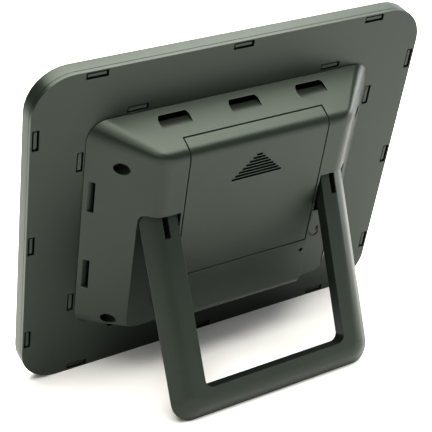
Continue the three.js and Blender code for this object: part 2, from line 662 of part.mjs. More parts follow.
const frame = new THREE.Group();
frame.add(
  piece('front_bezel', frontBezel(), 'casing'),
  piece('lcd_gasket', lcdGasket(), 'foam'),
  piece('lcd_panel', layer(PANEL, PANEL.depth), 'screen'),
  piece('backlight_unit', layer(BACKLIGHT, BACKLIGHT.depth), 'backlight'),
  piece('lcd_retainer', lcdRetainer(), 'casing'),
  piece('back_plate', backPlate(), 'casing'),
  piece('rear_housing', rearHousing(), 'casing'),
  piece('battery_door', batteryDoor(), 'casing'),
  piece('battery_pack', batteryPack(), 'battery'),
  piece('battery_contacts', block(CONTACTS.x, [TRAY.floor + GAP, CONTACTS.back], CONTACTS.z), 'moulded'),
  piece('main_board', mainBoard(), 'board'),
  ...Object.entries(CHIPS).map(([name, place]) => piece(name, chip(place), 'chip')),
  piece('choke_coil', rodY(CHOKE.radius, [ON_BOARD, CHOKE.back], CHOKE.x, CHOKE.z, 16), 'moulded'),
  piece('card_socket', cardSocket(), 'socket'),
  piece('usb_socket', usbSocket(), 'socket'),
  piece('power_jack', powerJack(), 'moulded'),
  piece('power_switch', toggleBody(), 'socket'),
  piece('power_switch_knob', toggleKnob(), 'moulded'),
  piece('reset_switch', resetSwitch(), 'socket'),
  piece('reset_button', resetButton(), 'moulded'),
  piece('ribbon_connector', ribbonConnector(), 'moulded'),
  piece('lcd_ribbon', ribbon(), 'ribbon'),
);

const caseScrew = screw(CASE_SCREW, CASE_SCREW.seat + GAP);
screwPlaces(CASE_SCREW).forEach(([x, z], i) => {
  frame.add(piece(`case_screw_${i + 1}`, caseScrew, 'steel', [x, 0, z]));
});

const boardScrew = screw(BOARD_SCREW, BOARD.front - GAP);
screwPlaces(BOARD_SCREW).forEach(([x, z], i) => {
  frame.add(piece(`board_screw_${i + 1}`, boardScrew, 'steel', [x, 0, z]));
});

const stand = new THREE.Group();
stand.position.set(0, HINGE.depth, HINGE.height);
stand.rotation.x = STAND.open;
stand.add(piece('stand', standSolid(), 'casing'));
[['left', 1], ['right', -1]].forEach(([name, side]) => {
  stand.add(piece(`hinge_pin_${name}`, hingePin(side), 'steel'));
  stand.add(piece(`hinge_washer_${name}`, hingeWasher(side), 'moulded'));
});
frame.add(stand);

// Lean the frame back until the plate's bottom edge and the stand's foot are level.
const footDepth = HINGE.depth + STAND.front * Math.cos(STAND.open) - STAND.foot * Math.sin(STAND.open);
const footHeight = HINGE.height + STAND.front * Math.sin(STAND.open) + STAND.foot * Math.cos(STAND.open);
frame.rotation.x = -Math.atan2(footHeight + PLATE.height / 2, footDepth);

const digitalPhotoFrame = new THREE.Group();
digitalPhotoFrame.add(frame);
digitalPhotoFrame.updateMatrixWorld(true);
const bounds = new THREE.Box3().setFromObject(digitalPhotoFrame, true);
frame.position.set(0, -(bounds.min.y + bounds.max.y) / 2, -bounds.min.z);

export default digitalPhotoFrame;
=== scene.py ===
import json
import math

import bmesh
import bpy
from mathutils import Matrix, Quaternion, Vector


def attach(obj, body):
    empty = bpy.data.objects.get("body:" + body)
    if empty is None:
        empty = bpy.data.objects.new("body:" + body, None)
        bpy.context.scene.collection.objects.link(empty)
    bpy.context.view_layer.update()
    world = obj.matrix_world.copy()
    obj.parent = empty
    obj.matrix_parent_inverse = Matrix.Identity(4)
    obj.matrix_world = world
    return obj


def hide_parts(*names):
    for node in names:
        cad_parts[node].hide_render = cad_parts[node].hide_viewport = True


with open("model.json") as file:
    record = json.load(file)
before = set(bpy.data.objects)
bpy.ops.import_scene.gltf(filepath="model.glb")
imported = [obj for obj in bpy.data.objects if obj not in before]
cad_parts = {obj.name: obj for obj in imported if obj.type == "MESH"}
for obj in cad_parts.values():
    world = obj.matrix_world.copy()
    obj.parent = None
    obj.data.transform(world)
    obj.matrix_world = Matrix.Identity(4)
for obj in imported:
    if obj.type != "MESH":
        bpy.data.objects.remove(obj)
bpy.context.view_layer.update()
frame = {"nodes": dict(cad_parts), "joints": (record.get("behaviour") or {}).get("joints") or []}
nodes = frame["nodes"]

# ---------------------------------------------------------------- the frame's own axes

joints = {joint["name"]: joint for joint in frame["joints"]}
MM = 0.001
ALONG = Vector((1, 0, 0))
UP = Vector(joints["door_slide"]["axis"]).normalized()
OUT = -Vector(joints["reset_press"]["axis"]).normalized()
HINGE = Vector(joints["stand_fold"]["pos_m"])
HINGE_OUT = 21.3                       # hinge line, out of the plate's back
HINGE_UP = 14.15                       # and above the plate's middle
PLATE_MIDDLE = HINGE - MM * (HINGE_OUT * OUT + HINGE_UP * UP)
PLATE_TURN = Matrix((ALONG, OUT, UP)).transposed()


def plate_place(point):
    """Millimetres along the plate, out of it and up it from its middle, for a point of the scene."""
    return (PLATE_TURN.transposed() @ (point - PLATE_MIDDLE)) / MM


# ---------------------------------------------------------------- node building

def put(tree, kind, inputs=None, **settings):
    node = tree.nodes.new(kind)
    for name, value in settings.items():
        setattr(node, name, value)
    for name, value in (inputs or {}).items():
        node.inputs[name].default_value = value
    return node


def math_node(tree, operation, first, second):
    node = put(tree, "ShaderNodeMath", operation=operation)
    for socket, value in zip(node.inputs, (first, second)):
        if isinstance(value, bpy.types.NodeSocket):
            tree.links.new(value, socket)
        else:
            socket.default_value = value
    return node.outputs[0]


def colour_mix(tree, factor, first, second):
    node = put(tree, "ShaderNodeMix", data_type="RGBA")
    sockets = [node.inputs[0], node.inputs[6], node.inputs[7]]
    for socket, value in zip(sockets, (factor, first, second)):
        if isinstance(value, bpy.types.NodeSocket):
            tree.links.new(value, socket)
        else:
            socket.default_value = value
    return node.outputs[2]


def new_group(name, inputs, outputs):
    group = bpy.data.node_groups.new(name, "ShaderNodeTree")
    for socket, value in inputs.items():
        made = group.interface.new_socket(socket, in_out="INPUT", socket_type="NodeSocketFloat")
        made.default_value = value
    for socket in outputs:
        group.interface.new_socket(socket, in_out="OUTPUT", socket_type="NodeSocketFloat")
    return group, put(group, "NodeGroupInput"), put(group, "NodeGroupOutput")


def falling_step(tree, full_to, gone_at):
    """A value that is 1 up to one reading and falls to 0 at another."""
    return put(tree, "ShaderNodeMapRange", {
        "From Min": full_to, "From Max": gone_at, "To Min": 1.0, "To Max": 0.0})


def spark_grain_group():
    """Spark-eroded mould grain: fine rounded pits over a slower swell."""
    group, given, result = new_group(
        "spark_grain", {"Pits per Metre": 2400.0, "Swell": 0.35}, ("Height", "Gloss Break"))
    place = put(group, "ShaderNodeTexCoord").outputs["Object"]
    pits = put(group, "ShaderNodeTexNoise", {"Detail": 2.0, "Roughness": 0.55})
    cells = put(group, "ShaderNodeTexVoronoi", {"Randomness": 1.0}, feature="SMOOTH_F1")
    for texture in (pits, cells):
        group.links.new(place, texture.inputs["Vector"])
        group.links.new(given.outputs["Pits per Metre"], texture.inputs["Scale"])
    swell = math_node(group, "MULTIPLY", cells.outputs["Distance"], given.outputs["Swell"])
    group.links.new(math_node(group, "ADD", pits.outputs["Fac"], swell), result.inputs["Height"])
    group.links.new(math_node(group, "SUBTRACT", pits.outputs["Fac"], 0.5), result.inputs["Gloss Break"])
    return group


def handling_group():
    """Slow patches where a surface has been wiped and held, with a few fine dust specks."""
    group, given, result = new_group(
        "handling", {"Patches per Metre": 22.0, "Specks per Metre": 420.0}, ("Patches", "Specks"))
    place = put(group, "ShaderNodeTexCoord").outputs["Object"]
    patches = put(group, "ShaderNodeTexNoise", {"Detail": 4.0, "Roughness": 0.6, "Distortion": 0.4})
    specks = put(group, "ShaderNodeTexVoronoi", {"Randomness": 1.0})
    for texture, count in ((patches, "Patches per Metre"), (specks, "Specks per Metre")):
        group.links.new(place, texture.inputs["Vector"])
        group.links.new(given.outputs[count], texture.inputs["Scale"])
    dots = falling_step(group, full_to=0.05, gone_at=0.09)
    group.links.new(specks.outputs["Distance"], dots.inputs["Value"])
    group.links.new(math_node(group, "SUBTRACT", patches.outputs["Fac"], 0.5), result.inputs["Patches"])
    group.links.new(dots.outputs["Result"], result.inputs["Specks"])
    return group


def edge_rub_group():
    """How much a corner has been rubbed: broken up along the edges that stand out."""
    group, given, result = new_group("edge_rub", {"Width": 0.0006, "Breaks per Metre": 260.0}, ("Rub",))
    rounded = put(group, "ShaderNodeBevel", samples=3)
    group.links.new(given.outputs["Width"], rounded.inputs["Radius"])
    flat = put(group, "ShaderNodeNewGeometry")
    facing = put(group, "ShaderNodeVectorMath", operation="DOT_PRODUCT")
    group.links.new(rounded.outputs["Normal"], facing.inputs[0])
    group.links.new(flat.outputs["Normal"], facing.inputs[1])
    edge = falling_step(group, full_to=0.93, gone_at=0.995)
    group.links.new(facing.outputs["Value"], edge.inputs["Value"])
    breaks = put(group, "ShaderNodeTexNoise", {"Detail": 3.0})
    group.links.new(put(group, "ShaderNodeTexCoord").outputs["Object"], breaks.inputs["Vector"])
    group.links.new(given.outputs["Breaks per Metre"], breaks.inputs["Scale"])
    group.links.new(math_node(group, "MULTIPLY", edge.outputs["Result"], breaks.outputs["Fac"]),
                    result.inputs["Rub"])
    return group


GRAIN = spark_grain_group()
HANDLING = handling_group()
EDGE_RUB = edge_rub_group()


def use_group(tree, group, inputs=None):
    return put(tree, "ShaderNodeGroup", inputs, node_tree=group)


def new_material(name):
    material = bpy.data.materials.new(name)
    material.use_nodes = True
    return material, material.node_tree, material.node_tree.nodes["Principled BSDF"]


def add_bump(tree, shader, height, strength, distance):
    """Turn a height into the shader's normal."""
    bump = put(tree, "ShaderNodeBump", {"Strength": strength, "Distance": distance})
    tree.links.new(height, bump.inputs["Height"])
    tree.links.new(bump.outputs["Normal"], shader.inputs["Normal"])


TONE = 0.1                             # share of the worn colour in an average patch
SHEEN = 0.06                           # how far patches and grain move the roughness
RUBBED_COLOUR = 0.5                    # share of the worn colour on a rubbed edge
RUBBED_GLOSS = -0.12                   # and how much smoother that edge is
DUST_SHARE = 0.05
DUST = (0.4, 0.4, 0.38, 1)
GRAIN_STRENGTH = 0.35


def moulding(name, colour, worn, roughness, pits=2400.0, depth=0.00003, metallic=0.0, tint=(1, 1, 1)):
    """A moulded or rolled finish with grain, tone patches, rubbed edges and dust."""
    material, tree, shader = new_material(name)
    shader.inputs["Metallic"].default_value = metallic
    shader.inputs["Specular Tint"].default_value = (*tint, 1)
    grain = use_group(tree, GRAIN, {"Pits per Metre": pits})
    hands = use_group(tree, HANDLING)
    rub = use_group(tree, EDGE_RUB)
    patches = math_node(tree, "ADD", math_node(tree, "MULTIPLY", hands.outputs["Patches"], TONE * 2), TONE)
    toned = colour_mix(tree, patches, (*colour, 1), (*worn, 1))
    rubbing = math_node(tree, "MULTIPLY", rub.outputs["Rub"], RUBBED_COLOUR)
    rubbed = colour_mix(tree, rubbing, toned, (*worn, 1))
    specks = math_node(tree, "MULTIPLY", hands.outputs["Specks"], DUST_SHARE)
    tree.links.new(colour_mix(tree, specks, rubbed, DUST), shader.inputs["Base Color"])
    gloss = math_node(tree, "MULTIPLY", hands.outputs["Patches"], SHEEN)
    broken = math_node(tree, "MULTIPLY", grain.outputs["Gloss Break"], SHEEN)
    polished = math_node(tree, "MULTIPLY", rub.outputs["Rub"], RUBBED_GLOSS)
    uneven = math_node(tree, "ADD", gloss, broken)
    even = math_node(tree, "ADD", polished, roughness)
    tree.links.new(math_node(tree, "ADD", uneven, even), shader.inputs["Roughness"])
    add_bump(tree, shader, grain.outputs["Height"], GRAIN_STRENGTH, depth)
    return material


CASING = moulding("casing_plastic", (0.0115, 0.0165, 0.0125), (0.034, 0.044, 0.036), 0.37,
                  tint=(0.9, 1, 0.92))
INNER_FRAME = moulding("retainer_plastic", (0.03, 0.038, 0.032), (0.06, 0.07, 0.06), 0.55)
BLACK_MOULDING = moulding("black_nylon", (0.012, 0.012, 0.013), (0.03, 0.03, 0.03), 0.5)
FOAM = moulding("closed_cell_foam", (0.012, 0.012, 0.012), (0.03, 0.03, 0.03), 0.92, pits=900.0, depth=0.0002)
FOIL = moulding("reflector_foil", (0.62, 0.64, 0.65), (0.8, 0.81, 0.82), 0.32, pits=300.0, metallic=0.85)
STEEL = moulding("zinc_plated_steel", (0.52, 0.53, 0.54), (0.75, 0.75, 0.74), 0.28, pits=1500.0, metallic=1.0)
TIN = moulding("tinned_shell", (0.6, 0.61, 0.62), (0.8, 0.8, 0.8), 0.24, pits=700.0, metallic=1.0)
CHIP = moulding("chip_resin", (0.01, 0.01, 0.011), (0.03, 0.03, 0.03), 0.46, pits=3600.0)
WRAP = moulding("battery_wrap", (0.03, 0.055, 0.14), (0.09, 0.13, 0.24), 0.3, pits=160.0, depth=0.0001)
RIBBON = moulding("polyimide_ribbon", (0.42, 0.16, 0.03), (0.6, 0.3, 0.08), 0.3, pits=500.0)


def screen_glass():
    """Dark coated glass with faint smears and a few specks."""
    material, tree, shader = new_material("screen_glass")
    shader.inputs["Coat Weight"].default_value = 0.6
    shader.inputs["Coat Roughness"].default_value = 0.04
    hands = use_group(tree, HANDLING)
    tint = colour_mix(tree, math_node(tree, "ADD", hands.outputs["Patches"], 0.5),
                      (0.004, 0.005, 0.007, 1), (0.010, 0.011, 0.014, 1))
    specked = colour_mix(tree, math_node(tree, "MULTIPLY", hands.outputs["Specks"], 0.1), tint,
                         (0.3, 0.3, 0.3, 1))
    tree.links.new(specked, shader.inputs["Base Color"])
    smear = math_node(tree, "MULTIPLY", hands.outputs["Patches"], 0.12)
    tree.links.new(math_node(tree, "ADD", smear, 0.12), shader.inputs["Roughness"])
    grain = use_group(tree, GRAIN)
    add_bump(tree, shader, grain.outputs["Height"], strength=0.05, distance=0.00001)
    return material


def solder_mask():
    """Green lacquer over a net of copper tracks, with bare tinned dots."""
    material, tree, shader = new_material("circuit_board")
    place = put(tree, "ShaderNodeTexCoord").outputs["Object"]
    tracks = put(tree, "ShaderNodeTexBrick", {
        "Scale": 260.0, "Mortar Size": 0.035, "Color1": (0, 0, 0, 1), "Color2": (0, 0, 0, 1),
        "Mortar": (1, 1, 1, 1), "Row Height": 0.3})
    dots = put(tree, "ShaderNodeTexVoronoi", {"Scale": 330.0})
    for texture in (tracks, dots):
        tree.links.new(place, texture.inputs["Vector"])
    bare = falling_step(tree, full_to=0.12, gone_at=0.16)
    tree.links.new(dots.outputs["Distance"], bare.inputs["Value"])
    lacquer = colour_mix(tree, tracks.outputs["Color"], (0.008, 0.07, 0.028, 1), (0.03, 0.16, 0.06, 1))
    tree.links.new(colour_mix(tree, bare.outputs["Result"], lacquer, (0.6, 0.58, 0.5, 1)),
                   shader.inputs["Base Color"])
    tree.links.new(math_node(tree, "MULTIPLY", bare.outputs["Result"], 0.8), shader.inputs["Metallic"])
    hands = use_group(tree, HANDLING)
    smear = math_node(tree, "MULTIPLY", hands.outputs["Patches"], 0.2)
    tree.links.new(math_node(tree, "ADD", smear, 0.36), shader.inputs["Roughness"])
    add_bump(tree, shader, tracks.outputs["Color"], strength=0.4, distance=0.00004)
    return material


SCREEN = screen_glass()
BOARD = solder_mask()


def finish_with(obj, material):
    obj.data.materials.clear()
    obj.data.materials.append(material)


# ---------------------------------------------------------------- mesh work

MERGE_WITHIN = 2e-6                    # metres
FLAT_WITHIN = math.radians(0.6)
SHARP_FROM = math.radians(30)
SMOOTH_BELOW = math.radians(32)


def only(obj):
    """Make one piece the only selected and active one."""
    bpy.ops.object.select_all(action="DESELECT")
    obj.select_set(True)
    bpy.context.view_layer.objects.active = obj


def apply_modifier(obj, kind, **settings):
    modifier = obj.modifiers.new(kind.lower(), kind)
    for name, value in settings.items():
        setattr(modifier, name, value)
    only(obj)
    bpy.ops.object.modifier_apply(modifier=modifier.name)


def copy_of(node_name, name):
    """A merged copy of a CAD node's mesh, its flat faces dissolved to single faces."""
    source = nodes[node_name]
    obj = bpy.data.objects.new(name, source.data.copy())
    bpy.context.scene.collection.objects.link(obj)
    only(obj)
    bpy.ops.object.mode_set(mode="EDIT")
    bpy.ops.mesh.select_all(action="SELECT")
    bpy.ops.mesh.customdata_custom_splitnormals_clear()
    bpy.ops.mesh.remove_doubles(threshold=MERGE_WITHIN)
    bpy.ops.mesh.dissolve_limited(angle_limit=FLAT_WITHIN)
    bpy.ops.object.mode_set(mode="OBJECT")
    return obj


def everywhere(place):
    return True


def bevel_edges(obj, width, wanted=everywhere, segments=2, least_length=1.0):
    """Bevel the sharp outer edges whose middle passes a test, in millimetres along the plate's axes."""
    only(obj)
    bpy.ops.object.mode_set(mode="EDIT")
    bpy.ops.mesh.select_mode(type="EDGE")
    bpy.ops.mesh.select_all(action="DESELECT")
    mesh = bmesh.from_edit_mesh(obj.data)
    for edge in mesh.edges:
        if len(edge.link_faces) != 2 or edge.calc_length() < least_length * MM:
            continue
        if edge.calc_face_angle() < SHARP_FROM or not edge.is_convex:
            continue
        ends = [plate_place(vert.co) for vert in edge.verts]
        if wanted((ends[0] + ends[1]) / 2):
            edge.select_set(True)
    bmesh.update_edit_mesh(obj.data)
    bpy.ops.mesh.bevel(offset=width * MM, segments=segments, affect="EDGES", clamp_overlap=False,
                       miter_outer="SHARP", loop_slide=True)
    bpy.ops.object.mode_set(mode="OBJECT")


def settle(obj, material, body, slot, *replaced):
    """Smooth shading, finish and body for a finished piece; the slot is not used."""
    only(obj)
    bpy.ops.object.shade_smooth_by_angle(angle=SMOOTH_BELOW)
    apply_modifier(obj, "WEIGHTED_NORMAL", mode="FACE_AREA", weight=60, keep_sharp=True)
    finish_with(obj, material)
    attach(obj, body)
    if replaced:
        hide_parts(*replaced)
    return obj


# ---------------------------------------------------------------- shells from the CAD

# Widths of the rounded edges, in millimetres.
HOUSING_EDGE = 0.25
COVER_EDGE = 0.2
BEZEL_EDGE = 0.25
SCREEN_EDGE = 0.9
DOOR_EDGE = 0.35
GROOVE_EDGE = 0.12
STAND_EDGE = 0.3

# Where those edges lie. On a place, x runs along the plate, y out of it and z up it.
HOUSING_RIM_OUT = 1.0
HOUSING_BACK_OUT = 17.0
HOUSING_SIDE = 56
HOUSING_TOP = 55
HOUSING_FOOT = -50
COVER_FACE_WITHIN = 0.05
COVER_HALF_SPAN = (76, 62)             # the cover's edges beyond the housing
BEZEL_BACK_OUT = -2.5
BEZEL_HALF_SPAN = (90, 75)
BEZEL_FRONT_OUT = -9.3
SCREEN_HALF_SPAN = (84, 64)
DOOR_LATCH_UP = -19.5
GRIP_HALF_WIDTH = 16
GRIP_UP = (29, 46)


def beyond(place, half_span):
    """Whether a place is outside a rectangle round the plate's middle."""
    return abs(place.x) > half_span[0] or abs(place.z) > half_span[1]


def on_housing_outside(place):
    """Whether a place is on the housing's back or high on its walls."""
    outer = abs(place.x) > HOUSING_SIDE or place.z > HOUSING_TOP or place.z < HOUSING_FOOT
    return place.y > HOUSING_RIM_OUT and (place.y > HOUSING_BACK_OUT or outer)


def on_cover_outside(place):
    return abs(place.y) < COVER_FACE_WITHIN and beyond(place, COVER_HALF_SPAN)


def on_bezel_outside(place):
    return place.y > BEZEL_BACK_OUT or beyond(place, BEZEL_HALF_SPAN)


def on_screen_rim(place):
    """Whether a place is on the rim of the screen opening."""
    in_opening = abs(place.x) < SCREEN_HALF_SPAN[0] and abs(place.z) < SCREEN_HALF_SPAN[1]
    return place.y < BEZEL_FRONT_OUT and in_opening


def in_grip(place):
    """Whether a place lies among the grooves of the door's triangular grip."""
    return abs(place.x) < GRIP_HALF_WIDTH and GRIP_UP[0] < place.z < GRIP_UP[1]


def on_door_outline(place):
    return place.z > DOOR_LATCH_UP and not in_grip(place)


def rear_shell():
    shell = copy_of("rear_housing", "rear_shell")
    bevel_edges(shell, HOUSING_EDGE, on_housing_outside)
    return settle(shell, CASING, "case", "casing", "rear_housing")


def cover_plate():
    plate = copy_of("back_plate", "cover_plate")
    bevel_edges(plate, COVER_EDGE, on_cover_outside)
    return settle(plate, CASING, "case", "casing", "back_plate")


def front_shell():
    bezel = copy_of("front_bezel", "front_shell")
    bevel_edges(bezel, BEZEL_EDGE, on_bezel_outside)
    bevel_edges(bezel, SCREEN_EDGE, on_screen_rim, segments=3)
    return settle(bezel, CASING, "case", "casing", "front_bezel")


def sliding_door():
    door = copy_of("battery_door", "sliding_door")
    bevel_edges(door, DOOR_EDGE, on_door_outline)
    bevel_edges(door, GROOVE_EDGE, in_grip)
    return settle(door, CASING, "battery_door", "casing", "battery_door")


def fold_out_stand():
    stand = copy_of("stand", "fold_out_stand")
    bevel_edges(stand, STAND_EDGE)
    return settle(stand, CASING, "stand", "casing", "stand")


rear_shell()
cover_plate()
front_shell()
sliding_door()
fold_out_stand()

# ---------------------------------------------------------------- pieces modelled along the plate's axes

ON_PLATE = Matrix.Translation(PLATE_MIDDLE) @ PLATE_TURN.to_4x4() @ Matrix.Scale(MM, 4)


def local_box(node_name):
    """Lowest and highest corners of a CAD node in millimetres along the plate's own axes."""
    places = [plate_place(vert.co) for vert in nodes[node_name].data.vertices]
    low = Vector([min(place[axis] for place in places) for axis in range(3)])
    high = Vector([max(place[axis] for place in places) for axis in range(3)])
    return low, high


def begin(primitive, name, **settings):
    """A primitive in millimetres along the plate's axes, left in edit mode with nothing selected."""
    bpy.ops.object.select_all(action="DESELECT")
    primitive(**settings)
    obj = bpy.context.object
    obj.name = name
    bpy.ops.object.transform_apply(location=True, rotation=True, scale=True)
    bpy.ops.object.mode_set(mode="EDIT")
    bpy.ops.mesh.select_all(action="DESELECT")
    return obj


def begin_block(name, low, high):
    return begin(bpy.ops.mesh.primitive_cube_add, name, size=1, location=(low + high) / 2, scale=high - low)


def begin_rod(name, radius, ends, axis, place, sides=32):
    """A round rod from one end to the other along X, Y or Z, through a place."""
    middle = Vector(place)
    middle[axis] = (ends[0] + ends[1]) / 2
    turn = [(0, math.pi / 2, 0), (math.pi / 2, 0, 0), (0, 0, 0)][axis]
    return begin(bpy.ops.mesh.primitive_cylinder_add, name, vertices=sides, radius=radius,
                 depth=ends[1] - ends[0], location=middle, rotation=turn)


def pick_faces(obj, wanted):
    """Select the faces whose middle and normal pass a test, and nothing else."""
    bpy.ops.mesh.select_mode(type="FACE")
    bpy.ops.mesh.select_all(action="DESELECT")
    mesh = bmesh.from_edit_mesh(obj.data)
    mesh.normal_update()
    for face in mesh.faces:
        if wanted(face.calc_center_median(), face.normal):
            face.select_set(True)
    bmesh.update_edit_mesh(obj.data)


def round_off(obj, width, segments, wanted):
    """Bevel the sharp edges whose middle passes a test."""
    bpy.ops.mesh.select_mode(type="EDGE")
    bpy.ops.mesh.select_all(action="DESELECT")
    mesh = bmesh.from_edit_mesh(obj.data)
    for edge in mesh.edges:
        sharp = len(edge.link_faces) == 2 and edge.calc_face_angle() > SHARP_FROM
        if sharp and wanted((edge.verts[0].co + edge.verts[1].co) / 2):
            edge.select_set(True)
    bmesh.update_edit_mesh(obj.data)
    bpy.ops.mesh.bevel(offset=width, segments=segments, affect="EDGES")


def slice_at(axis, values):
    """Cut the whole piece across one axis at each value."""
    normal = Vector([1 if i == axis else 0 for i in range(3)])
    for value in values:
        bpy.ops.mesh.select_all(action="SELECT")
        bpy.ops.mesh.bisect(plane_co=normal * value, plane_no=normal)


def push(distance, axis):
    """Extrude the selected faces along an axis."""
    step = Vector([distance if i == axis else 0 for i in range(3)])
    bpy.ops.mesh.extrude_region_move(TRANSFORM_OT_translate={"value": step})


def end_edit(obj):
    bpy.ops.mesh.select_all(action="SELECT")
    bpy.ops.mesh.normals_make_consistent(inside=False)
    bpy.ops.object.mode_set(mode="OBJECT")
    return obj


def carve(obj, cutters):
    """Cut other closed pieces out of one, and throw them away."""
    for cutter in cutters:
        apply_modifier(obj, "BOOLEAN", operation="DIFFERENCE", object=cutter, solver="EXACT")
        bpy.data.objects.remove(cutter)


def fuse(first, others):
    """Put separate solids into one piece."""
    only(first)
    for other in others:
        other.select_set(True)
    bpy.ops.object.join()
    return first


def repeat(obj, steps):
    """Copies of a finished solid moved by each step, fused with it."""
    copies = []
    for step in steps:
        again = obj.copy()
        again.data = obj.data.copy()
        again.data.transform(Matrix.Translation(step))
        bpy.context.scene.collection.objects.link(again)
        copies.append(again)
    return fuse(obj, copies)


def lay_on_plate(obj):
    obj.data.transform(ON_PLATE)
    return obj


CASE_HEAD_HEIGHT = 2.0
BOARD_HEAD_HEIGHT = 1.6
HEAD_ROUNDING = 0.28                   # this and the next two are shares of the head's radius
SHANK_SHARE = 0.5
DRIVER_REACH = 0.6
DRIVER_TAPER = 0.55                    # the cross's size at its bottom as a share of its top
DRIVER_HALF_WIDTH = 0.36
DRIVER_DEPTH = 0.7
THREAD_STEP = 0.35                     # from a thread's crest to the groove beside it
THREAD_OVERLAP = 0.2                   # how far the shank runs into the head
THREAD_ROOT = 0.8                      # the grooves' radius as a share of the crests'


def cross_head_screw(node_name, name):
    """Pan head with a rounded rim and a tapered cross, over a ringed shank."""
    low, high = local_box(node_name)
    head_out = 1 if "case" in node_name else -1
    ends = [low.y, high.y] if head_out < 0 else [high.y, low.y]
    head_height = CASE_HEAD_HEIGHT if head_out > 0 else BOARD_HEAD_HEIGHT
    radius = (high.x - low.x) / 2
    middle = (low + high) / 2
    under = ends[0] - head_out * head_height
    head = begin_rod(name, radius, sorted((ends[0], under)), 1, middle)
    round_off(head, radius * HEAD_ROUNDING, 4, lambda point: abs(point.y - ends[0]) < 0.1)
    end_edit(head)
    cutters = []
    for turned in (0, 2):
        half = Vector((DRIVER_HALF_WIDTH, DRIVER_DEPTH, DRIVER_HALF_WIDTH))
        half[turned] = radius * DRIVER_REACH
        centre = Vector((middle.x, ends[0], middle.z))
        blade = begin_block("driver", centre - half, centre + half)
        pick_faces(blade, lambda point, normal: normal.y * head_out < -0.9)
        bpy.ops.transform.resize(value=(DRIVER_TAPER, 1, DRIVER_TAPER))
        cutters.append(end_edit(blade))
    carve(head, cutters)
    rings = int(abs(ends[1] - under) / (2 * THREAD_STEP))
    shank = sorted((under + head_out * THREAD_OVERLAP, ends[1]))
    thread = begin_rod("thread", radius * SHANK_SHARE, shank, 1, middle, sides=20)
    slice_at(1, [under - head_out * THREAD_STEP * (step + 1) for step in range(2 * rings - 1)])
    pick_grooves(thread, under, head_out)
    bpy.ops.transform.resize(value=(THREAD_ROOT, 1, THREAD_ROOT), center_override=(middle.x, 0, middle.z))
    end_edit(thread)
    fuse(head, [thread])
    return settle(lay_on_plate(head), STEEL, "case", "steel", node_name)


def pick_grooves(thread, under, head_out):
    """Select every second ring of points along a shank."""
    bpy.ops.mesh.select_mode(type="VERT")
    bpy.ops.mesh.select_all(action="DESELECT")
    mesh = bmesh.from_edit_mesh(thread.data)
    for vert in mesh.verts:
        step = round((under - vert.co.y) * head_out / THREAD_STEP)
        if step > 0 and step % 2 == 1:
            vert.select_set(True)
    bmesh.update_edit_mesh(thread.data)


PACKAGE_DRAFT = 0.5                    # what the top and bottom lose against the parting line
PACKAGE_BORDER = 0.6
RECESS_RIM = 0.15
RECESS_DEPTH = 0.08
LEG_REACH = 0.7
LEG_THICKNESS = 0.24
LEG_WIDTH = 0.3
FIRST_LEG = 1.0                        # from the end of the package to the first leg's middle


def chip_package(node_name, name, legs):
    """Resin body with a parting bevel and a sunk top, and bent legs down both long sides."""
    low, high = local_box(node_name)
    body = begin_block(name, low, high)
    slice_at(1, [(low.y + high.y) / 2])
    pick_faces(body, lambda point, normal: abs(normal.y) > 0.9)
    inset = 1 - PACKAGE_DRAFT / max(high.x - low.x, high.z - low.z)
    bpy.ops.transform.resize(value=(inset, 1, inset))
    pick_faces(body, lambda point, normal: normal.y > 0.9)
    bpy.ops.mesh.inset(thickness=PACKAGE_BORDER, depth=0)
    bpy.ops.mesh.inset(thickness=RECESS_RIM, depth=-RECESS_DEPTH)
    end_edit(body)
    settle(lay_on_plate(body), CHIP, "case", "chip", node_name)
    pitch = (high.z - low.z - 2 * FIRST_LEG) / (legs - 1)
    middle_out = (low.y + high.y) / 2
    leg_low = low.z + FIRST_LEG - LEG_WIDTH / 2
    for side, edge in ((-1, low.x), (1, high.x)):
        across = sorted((edge, edge + side * LEG_REACH))
        near = Vector((across[0], middle_out - LEG_THICKNESS / 2, leg_low))
        far = Vector((across[1], middle_out + LEG_THICKNESS / 2, leg_low + LEG_WIDTH))
        leg = begin_block(f"{name}_legs_{'left' if side > 0 else 'right'}", near, far)
        pick_faces(leg, lambda point, normal: normal.x * side > 0.9)
        push(side * LEG_THICKNESS, 0)
        pick_faces(leg, lambda point, normal: normal.y < -0.9 and (point.x - edge) * side > LEG_REACH)
        push(low.y - near.y, 1)
        end_edit(leg)
        repeat(leg, [Vector((0, 0, pitch * step)) for step in range(1, legs)])
        settle(lay_on_plate(leg), TIN, "case", "socket")


KNOB_STRIPS = 7                        # ridges and grooves in turn, ridges at both ends
GROOVE_DEPTH = 0.4


def ribbed_knob():
    """The power switch's knob, with three grip grooves across its end."""
    low, high = local_box("power_switch_knob")
    knob = begin_block("grip_knob", low, high)
    step = (high.x - low.x) / KNOB_STRIPS
    slice_at(0, [low.x + step * count for count in range(1, KNOB_STRIPS)])
    pick_faces(knob, lambda point, normal: normal.z < -0.9 and int((point.x - low.x) / step) % 2 == 1)
    push(GROOVE_DEPTH, 2)
    end_edit(knob)
    return settle(lay_on_plate(knob), BLACK_MOULDING, "power_switch_knob", "moulded", "power_switch_knob")


FIRST_SPRING = 2.2                     # from the block's end to the first spring
SPRING_PITCH = 4
SPRING_WIDTH = 1.8
SPRING_FOOT_OUT = (-0.05, 0.15)        # from the block's face
SPRING_FOOT_UP = (0.5, 1.1)            # from the block's lower edge
SPRING_BENDS = ((0.7, 0.5), (0.5, 0.6), (-0.4, 0.6))


